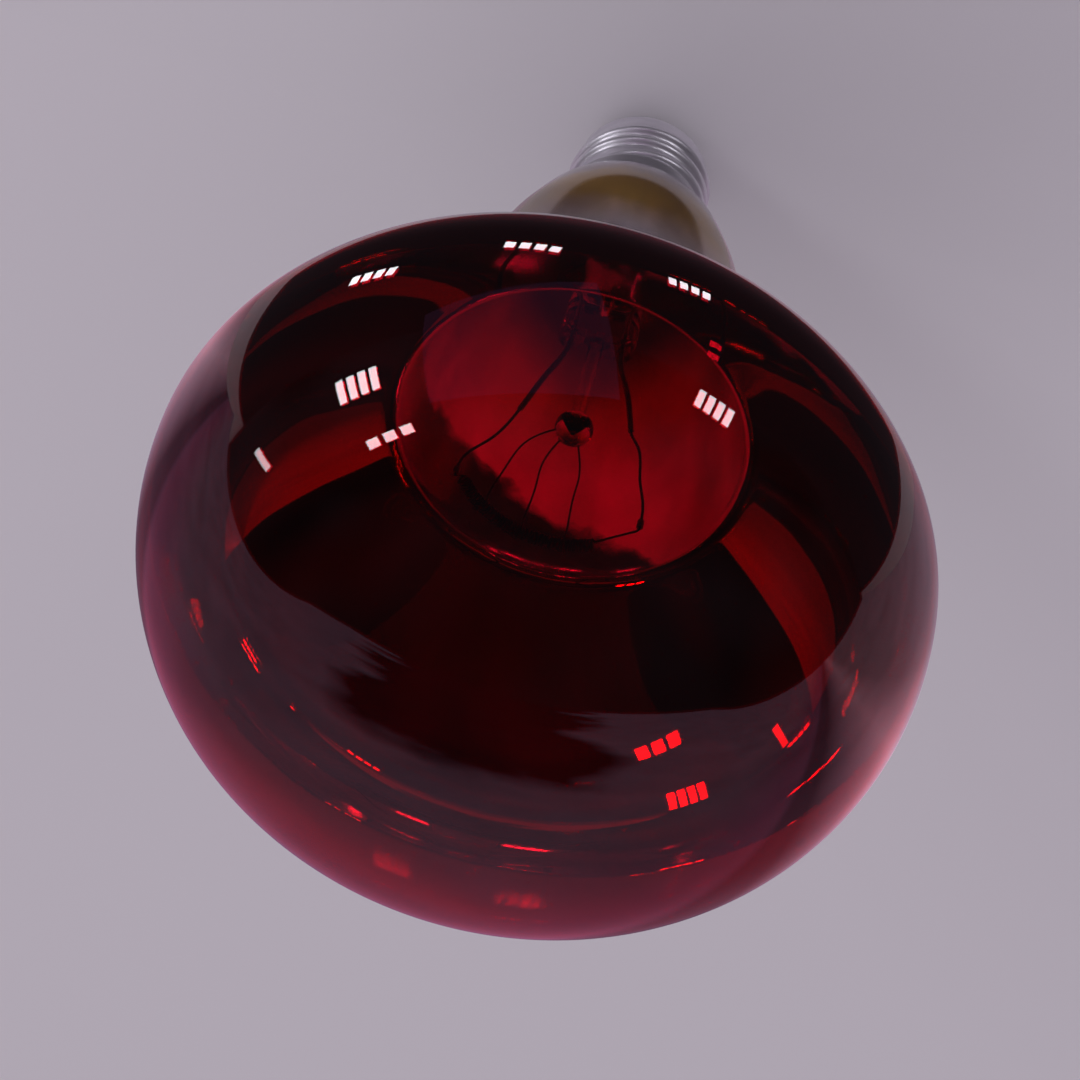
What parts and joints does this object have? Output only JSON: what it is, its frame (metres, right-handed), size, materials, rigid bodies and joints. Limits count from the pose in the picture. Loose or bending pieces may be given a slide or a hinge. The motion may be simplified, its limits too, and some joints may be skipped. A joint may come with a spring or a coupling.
{
  "type": "reflector bulb",
  "caption": "Mushroom-shaped reflector heat bulb with ruby glass face, mirrored bowl, clear flared neck and screw cap, holding a coiled filament on wires and a glass stem.",
  "frame": {"origin": "centre of the end contact of the screw cap, the cap's lowest point", "axes": "+Z along the bulb's axis from the cap to the face; +X through the two leads, towards lead a; the filament bow bulges towards +Y"},
  "size_m": [0.125, 0.125, 0.175],
  "materials": {
    "bulb_glass": "gloss",
    "mirror_film": "polished",
    "cap_metal": "satin",
    "black_glass": "gloss",
    "contact_metal": "satin",
    "solder": "satin",
    "cement": "matt",
    "stem_glass": "gloss",
    "copper_wire": "satin",
    "seal_wire": "satin",
    "lead_metal": "satin",
    "post_metal": "satin",
    "filament_metal": "satin"
  },
  "bodies": {
    "root": {"envelope": "bulb_glass", "mirror_film": "mirror_film", "cap_shell": "cap_metal", "cap_insulator": "black_glass", "cap_contact": "contact_metal", "contact_solder": "solder", "shell_solder": "solder", "cap_cement": "cement", "stem": "stem_glass", "exhaust_tube": "stem_glass", "support_rod": "stem_glass", "feed_wire_a": "copper_wire", "feed_wire_b": "copper_wire", "seal_wire_a": "seal_wire", "seal_wire_b": "seal_wire", "lead_a": "lead_metal", "lead_b": "lead_metal", "post_a": "post_metal", "post_b": "post_metal", "sleeve_a": "lead_metal", "sleeve_b": "lead_metal", "filament": "filament_metal", "support_a": "post_metal", "support_b": "post_metal", "support_c": "post_metal"}
  },
  "joints": []
}
